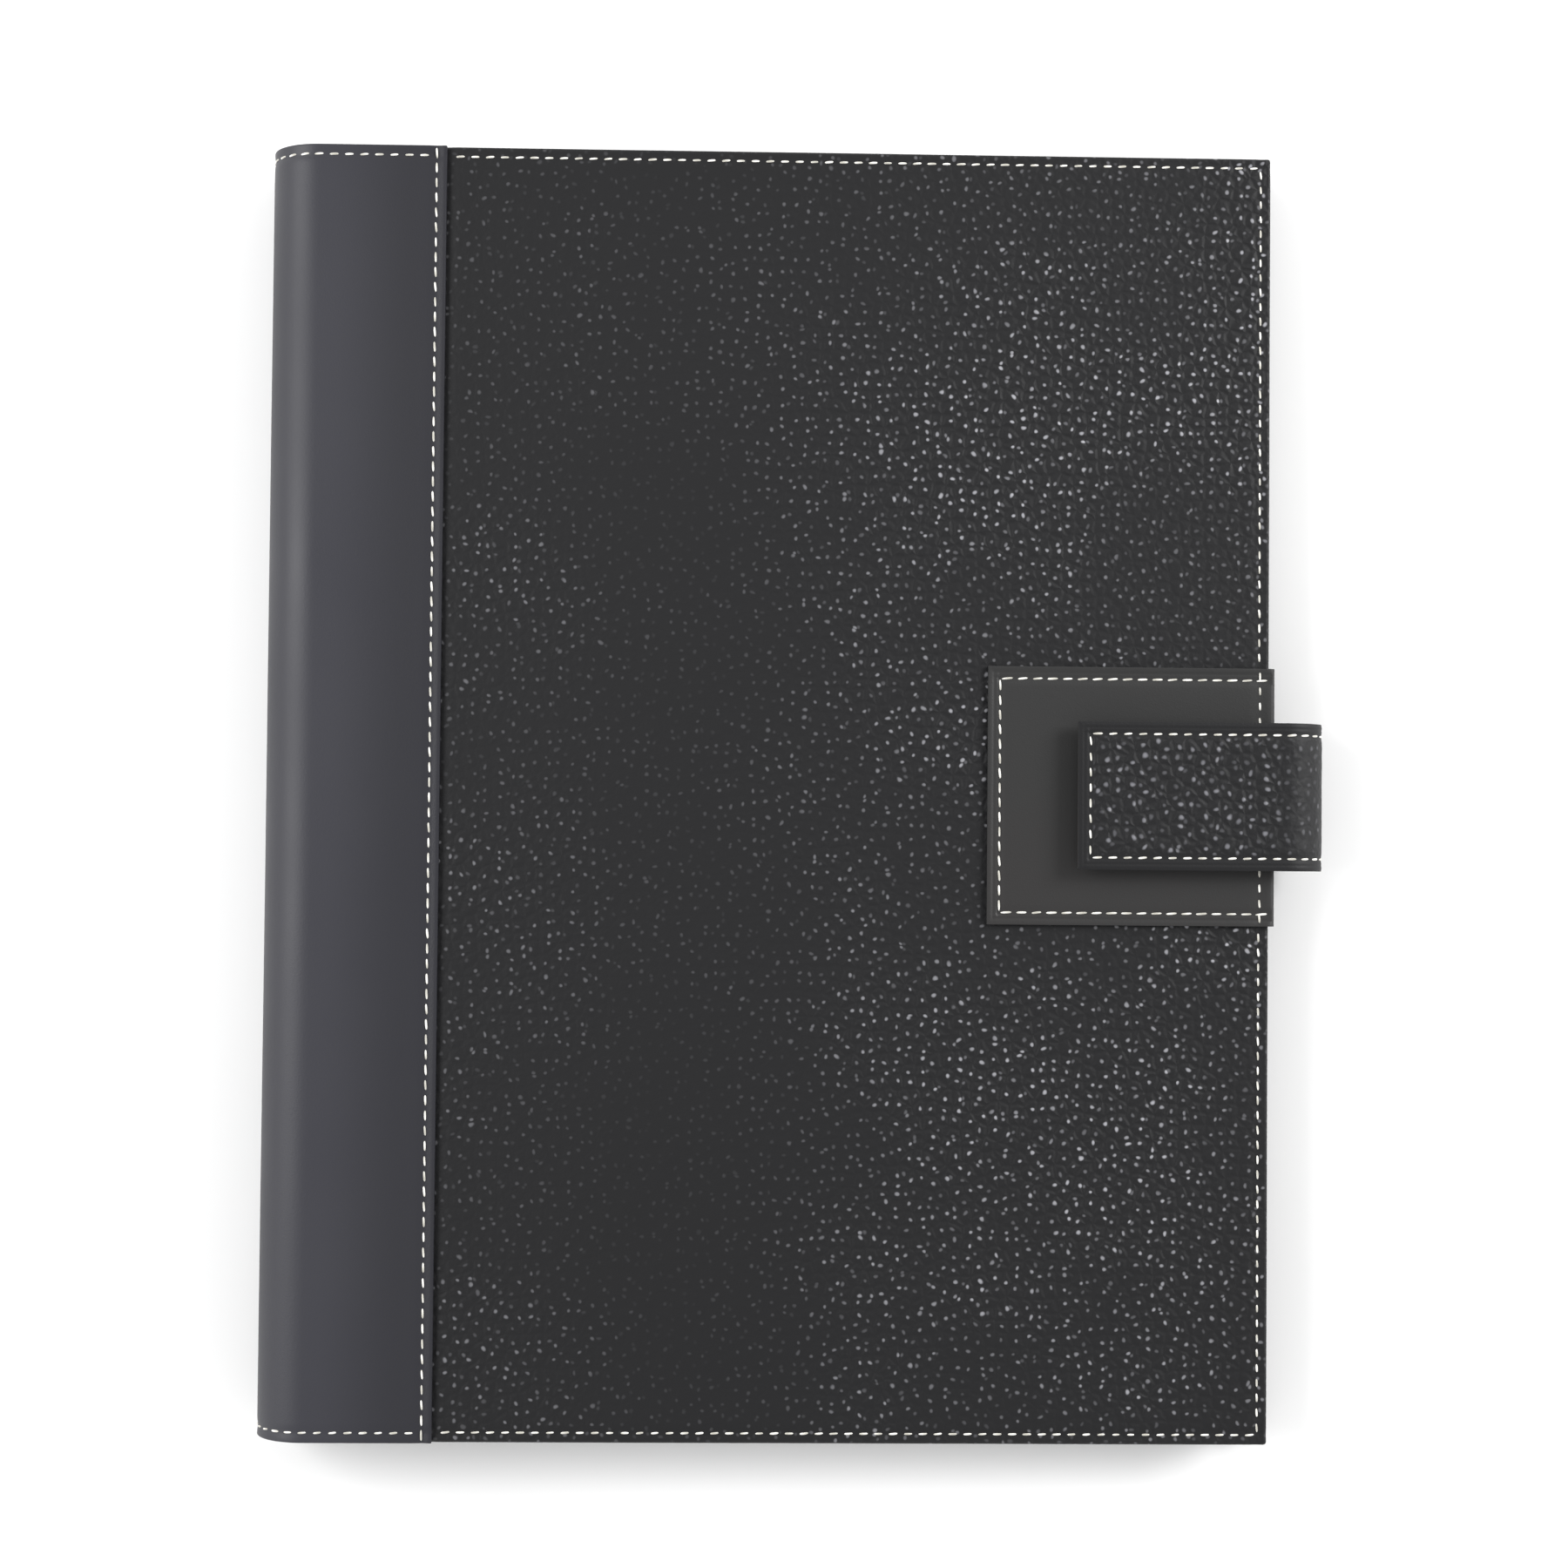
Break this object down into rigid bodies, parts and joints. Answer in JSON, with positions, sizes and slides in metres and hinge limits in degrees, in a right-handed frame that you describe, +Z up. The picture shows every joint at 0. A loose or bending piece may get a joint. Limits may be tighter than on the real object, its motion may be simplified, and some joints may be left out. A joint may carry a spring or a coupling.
{
  "type": "leather notebook cover",
  "caption": "Stitched leather notebook cover with boarded sides, a rolled spine, a strap that closes over the front on a magnetic snap, inner pockets and a refill pad.",
  "frame": {"origin": "centre of the bounding box's base, with the closed cover lying on its back cover", "axes": "+Z up out of the front cover's face, +Y along the spine towards the head, +X from the spine to the fore edge"},
  "size_m": [0.264, 0.32, 0.026],
  "materials": {
    "grain_leather": "black pebble grain, semi-matt",
    "smooth_leather": "black smooth, soft satin",
    "lining": "black suede-like cloth, matt",
    "board": "grey-brown binder's board",
    "thread": "off-white waxed thread",
    "nickel": "polished nickel plate",
    "magnet": "dark ferrite, matt",
    "elastic": "black woven elastic",
    "card": "brown card",
    "paper": "cream sheets",
    "tape": "dark blue binding cloth"
  },
  "bodies": {
    "back_cover": {"back_panel": "grain_leather", "back_spine_lap": "smooth_leather", "back_spine_filler": "board", "back_board": "board", "back_lining": "lining", "back_spine_lining": "lining", "back_seam_thread": "thread", "back_edge_thread": "thread", "strap_tongue_face": "grain_leather", "strap_tongue_lining": "smooth_leather", "pad_sleeve": "lining", "pen_loop": "elastic"},
    "spine_strip_1": {"spine_leather_1": "smooth_leather", "spine_lining_1": "lining"},
    "spine_strip_2": {"spine_leather_2": "smooth_leather", "spine_lining_2": "lining"},
    "front_cover": {"front_panel": "grain_leather", "front_spine_lap": "smooth_leather", "front_spine_filler": "board", "front_board": "board", "front_lining": "lining", "front_spine_lining": "lining", "front_seam_thread": "thread", "front_edge_thread": "thread", "snap_patch": "smooth_leather", "patch_thread": "thread", "snap_socket": "nickel", "snap_magnet": "magnet", "snap_socket_plate": "nickel", "document_pocket": "lining", "card_pocket_1": "smooth_leather", "card_pocket_2": "smooth_leather", "card_pocket_3": "smooth_leather"},
    "strap_strip_1": {"strap_face_1": "grain_leather", "strap_lining_1": "smooth_leather"},
    "strap_strip_2": {"strap_face_2": "grain_leather", "strap_lining_2": "smooth_leather"},
    "strap_flap": {"strap_flap_face": "grain_leather", "strap_flap_lining": "smooth_leather", "strap_thread": "thread", "snap_stud": "nickel", "snap_stud_plate": "nickel"},
    "pad": {"pad_card": "card", "pad_paper": "paper", "pad_tape": "tape"}
  },
  "joints": [
    {"name": "cover_open", "type": "hinge", "parent": "back_cover", "child": "spine_strip_1", "pos_m": [-0.12558, 0, 0.00178], "axis": [0, -1, 0], "range_deg": [0, 60.3]},
    {"name": "spine_bend_2", "type": "hinge", "parent": "spine_strip_1", "child": "spine_strip_2", "pos_m": [-0.13202, 0, 0.01322], "axis": [0, -1, 0], "range_deg": [0, 60.3]},
    {"name": "spine_bend_3", "type": "hinge", "parent": "spine_strip_2", "child": "front_cover", "pos_m": [-0.1252, 0, 0.02444], "axis": [0, -1, 0], "range_deg": [0, 60.3]},
    {"name": "strap_open", "type": "hinge", "parent": "back_cover", "child": "strap_strip_1", "pos_m": [0.12675, 0, 0.00367], "axis": [0, 1, 0], "range_deg": [0, 59.3]},
    {"name": "strap_bend_2", "type": "hinge", "parent": "strap_strip_1", "child": "strap_strip_2", "pos_m": [0.13202, 0, 0.01256], "axis": [0, 1, 0], "range_deg": [0, 59.3]},
    {"name": "strap_bend_3", "type": "hinge", "parent": "strap_strip_2", "child": "strap_flap", "pos_m": [0.12705, 0, 0.02163], "axis": [0, 1, 0], "range_deg": [0, 59.3]},
    {"name": "pad_slide", "type": "slide", "parent": "back_cover", "child": "pad", "axis": [0, 1, 0], "range_m": [0, 0.18]}
  ],
  "couplings": [
    {"joint": "spine_bend_2", "follows": "cover_open", "ratio": 1},
    {"joint": "spine_bend_3", "follows": "cover_open", "ratio": 1},
    {"joint": "strap_bend_2", "follows": "strap_open", "ratio": 1},
    {"joint": "strap_bend_3", "follows": "strap_open", "ratio": 1}
  ]
}
